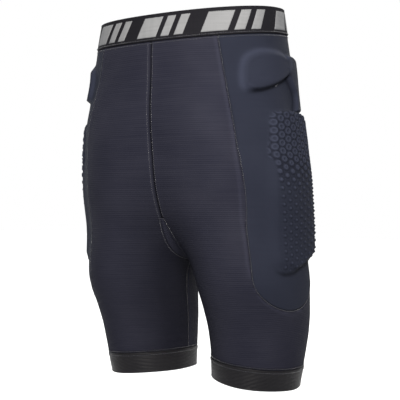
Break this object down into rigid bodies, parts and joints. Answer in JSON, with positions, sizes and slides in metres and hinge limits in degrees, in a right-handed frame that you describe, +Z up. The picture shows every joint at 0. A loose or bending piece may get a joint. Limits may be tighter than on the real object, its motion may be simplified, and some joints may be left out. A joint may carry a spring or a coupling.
{
  "type": "padded impact shorts",
  "caption": "Close-fitting knee-length base-layer shorts with foam pads at hips, thighs and tailbone, a wide elastic waistband and gripper hems.",
  "frame": {"origin": "centre of the waist opening, on the plane of its rim", "axes": "+Z up towards the waist; the front faces -Y; +X is the wearer's left"},
  "size_m": [0.3242, 0.2202, 0.4976],
  "materials": {
    "knit": "fine warp knit, dull sheen",
    "cover": "smooth stretch cloth, matte",
    "elastic": "woven elastic, matte",
    "hem": "shiny knitted elastic",
    "foam": "closed-cell foam, matte",
    "net": "fine mesh lining",
    "silicone": "soft silicone print, satin",
    "thread": "polyester thread",
    "label": "blank satin tape"
  },
  "bodies": {
    "root": {"waistband": "elastic", "crotch_gusset": "knit", "tailbone_pad": "foam", "tailbone_lining": "net", "care_label": "label", "waist_seam": "thread", "centre_front_seam": "thread", "centre_back_seam": "thread", "gusset_seam": "thread", "front_panel_left": "knit", "front_panel_right": "knit", "back_panel_left": "knit", "back_panel_right": "knit", "side_cover_left": "cover", "side_cover_right": "cover", "pad_lining_left": "net", "pad_lining_right": "net", "hip_pad_front_left": "foam", "hip_pad_front_right": "foam", "hip_pad_rear_left": "foam", "hip_pad_rear_right": "foam", "thigh_pad_left": "foam", "thigh_pad_right": "foam", "hem_band_left": "hem", "hem_band_right": "hem", "hem_gripper_left": "silicone", "hem_gripper_right": "silicone", "back_seam_left": "thread", "back_seam_right": "thread", "inseam_left": "thread", "inseam_right": "thread", "cover_seam_left": "thread", "cover_seam_right": "thread", "hem_seam_left": "thread", "hem_seam_right": "thread"}
  },
  "joints": []
}
